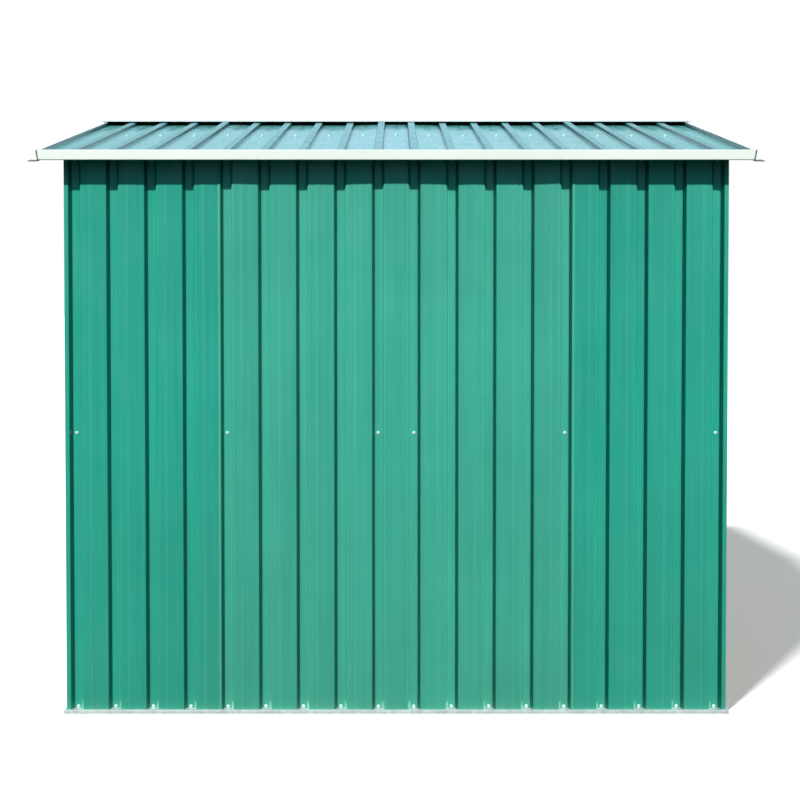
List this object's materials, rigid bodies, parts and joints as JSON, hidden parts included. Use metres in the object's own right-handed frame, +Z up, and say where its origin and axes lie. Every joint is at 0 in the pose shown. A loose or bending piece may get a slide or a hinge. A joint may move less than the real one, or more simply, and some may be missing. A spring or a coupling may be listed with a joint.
{
  "type": "metal storage shed",
  "caption": "Garden storage shed of ribbed painted steel sheets with a low apex roof, pale edge trims and double doors in the front gable.",
  "frame": {"origin": "centre of the footprint at ground level, under the middle of the ridge", "axes": "+X along the ridge towards the front gable with the doors, +Y towards the right wall, +Z up"},
  "size_m": [2.06, 2.57, 1.7973],
  "materials": {
    "wall_steel": "satin green paint on ribbed steel sheet",
    "roof_steel": "satin green paint on ribbed steel sheet, weathered by the sky side",
    "white_trim": "off-white paint on folded steel",
    "galvanised_steel": "bare galvanised steel with a faint spangle",
    "moulded_plastic": "off-white moulded plastic"
  },
  "bodies": {
    "root": {"corner_posts": "galvanised_steel", "door_handles": "moulded_plastic", "door_hangers": "moulded_plastic", "door_rails": "white_trim", "door_surround": "white_trim", "door_track": "galvanised_steel", "front_base_rail": "galvanised_steel", "front_gable_sheet": "wall_steel", "front_wall_sheet_left": "wall_steel", "front_wall_sheet_right": "wall_steel", "gable_vents": "moulded_plastic", "left_base_rail": "galvanised_steel", "left_door": "wall_steel", "left_eave_trim": "white_trim", "left_roof_sheet_1": "roof_steel", "left_roof_sheet_2": "roof_steel", "left_roof_sheet_3": "roof_steel", "left_roof_sheet_4": "roof_steel", "left_wall_plate": "galvanised_steel", "left_wall_sheet_1": "wall_steel", "left_wall_sheet_2": "wall_steel", "left_wall_sheet_3": "wall_steel", "left_wall_sheet_4": "wall_steel", "mid_rails": "galvanised_steel", "purlins": "galvanised_steel", "rafters": "galvanised_steel", "rear_base_rail": "galvanised_steel", "rear_wall_sheet_1": "wall_steel", "rear_wall_sheet_2": "wall_steel", "rear_wall_sheet_3": "wall_steel", "rear_wall_sheet_4": "wall_steel", "ridge_cap": "white_trim", "right_base_rail": "galvanised_steel", "right_door": "wall_steel", "right_eave_trim": "white_trim", "right_roof_sheet_1": "roof_steel", "right_roof_sheet_2": "roof_steel", "right_roof_sheet_3": "roof_steel", "right_roof_sheet_4": "roof_steel", "right_wall_plate": "galvanised_steel", "right_wall_sheet_1": "wall_steel", "right_wall_sheet_2": "wall_steel", "right_wall_sheet_3": "wall_steel", "right_wall_sheet_4": "wall_steel", "verge_trims": "white_trim"}
  },
  "joints": []
}
